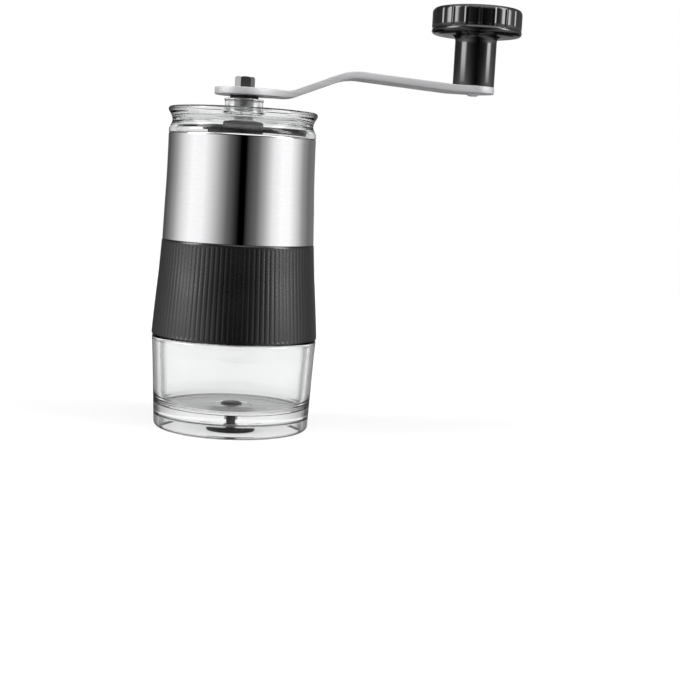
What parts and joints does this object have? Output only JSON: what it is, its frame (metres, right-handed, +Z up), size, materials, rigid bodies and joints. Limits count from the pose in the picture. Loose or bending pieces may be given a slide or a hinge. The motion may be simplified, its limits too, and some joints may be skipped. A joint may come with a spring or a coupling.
{
  "type": "hand crank coffee grinder",
  "caption": "Hand crank coffee grinder: clear lid and screw-on cup, steel sleeve, ribbed black grip band, conical ceramic burrs on a vertical shaft, bent steel crank with a fluted knob.",
  "frame": {"origin": "centre of the face it stands on, on the grinding shaft's axis", "axes": "+Z up the shaft, +X along the crank towards the knob"},
  "size_m": [0.1262, 0.058, 0.1512],
  "materials": {
    "clear_acrylic": "clear moulded acrylic, polished",
    "black_rubber": "moulded rubber, matte",
    "silicone_seal": "grey silicone ring",
    "black_plastic": "moulded, fine satin",
    "polished_steel": "polished stainless with very fine turning lines round it",
    "grip_silicone": "black silicone with fine upright ribs, satin",
    "bush_nylon": "natural nylon",
    "burr_ceramic": "unglazed white ceramic",
    "steel_hardware": "plain stainless",
    "shaft_steel": "ground stainless",
    "satin_steel": "satin stainless, brushed along the bar",
    "knob_plastic": "glossy moulded black"
  },
  "bodies": {
    "cup": {"powder_cup": "clear_acrylic", "base_plug": "black_rubber"},
    "seal": {"cup_seal": "silicone_seal"},
    "housing": {"inner_body": "black_plastic", "steel_sleeve": "polished_steel", "grip_band": "grip_silicone", "hopper_bridge": "black_plastic", "upper_bush": "bush_nylon", "burr_housing": "black_plastic", "lower_bush": "bush_nylon", "ring_burr": "burr_ceramic", "burr_retainer": "steel_hardware", "housing_screws": "steel_hardware"},
    "shaft": {"drive_shaft": "shaft_steel", "shaft_clip": "steel_hardware", "shaft_spacer": "black_plastic", "spring_washer": "steel_hardware"},
    "burr": {"inner_burr": "burr_ceramic", "burr_carrier": "black_plastic", "burr_spring": "steel_hardware"},
    "nut": {"adjusting_nut": "black_plastic"},
    "lid": {"lid": "clear_acrylic"},
    "crank": {"crank_arm": "satin_steel", "knob_pin": "satin_steel", "knob_washer": "steel_hardware", "knob_screw": "steel_hardware"},
    "knob": {"knob": "knob_plastic", "knob_cap": "knob_plastic"}
  },
  "joints": [
    {"name": "body_lift", "type": "slide", "parent": "cup", "child": "seal", "axis": [0, 0, 1], "range_m": [0, 0.008]},
    {"name": "body_turn", "type": "hinge", "parent": "seal", "child": "housing", "pos_m": [0, 0, 0.043], "axis": [0, 0, 1], "range_deg": [0, 720]},
    {"name": "crank_turn", "type": "hinge", "parent": "housing", "child": "shaft", "pos_m": [0, 0, 0.1], "axis": [0, 0, 1], "continuous": true},
    {"name": "burr_slide", "type": "slide", "parent": "shaft", "child": "burr", "axis": [0, 0, -1], "range_m": [0, 0.0015], "deforming": ["burr_spring"]},
    {"name": "nut_turn", "type": "hinge", "parent": "burr", "child": "nut", "pos_m": [0, 0, 0.042], "axis": [0, 0, -1], "range_deg": [0, 540]},
    {"name": "lid_lift", "type": "slide", "parent": "housing", "child": "lid", "axis": [0, 0, 1], "range_m": [0, 0.0072]},
    {"name": "crank_lift", "type": "slide", "parent": "shaft", "child": "crank", "axis": [0, 0, 1], "range_m": [0, 0.0075]},
    {"name": "knob_spin", "type": "hinge", "parent": "crank", "child": "knob", "pos_m": [0.0813, 0, 0.13], "axis": [0, 0, 1], "continuous": true}
  ],
  "couplings": [
    {"joint": "body_turn", "follows": "body_lift", "rad_per_m": 1570.8},
    {"joint": "nut_turn", "follows": "burr_slide", "rad_per_m": 6283.2},
    {"joint": "lid_lift", "follows": "crank_lift", "ratio": 0.9}
  ]
}
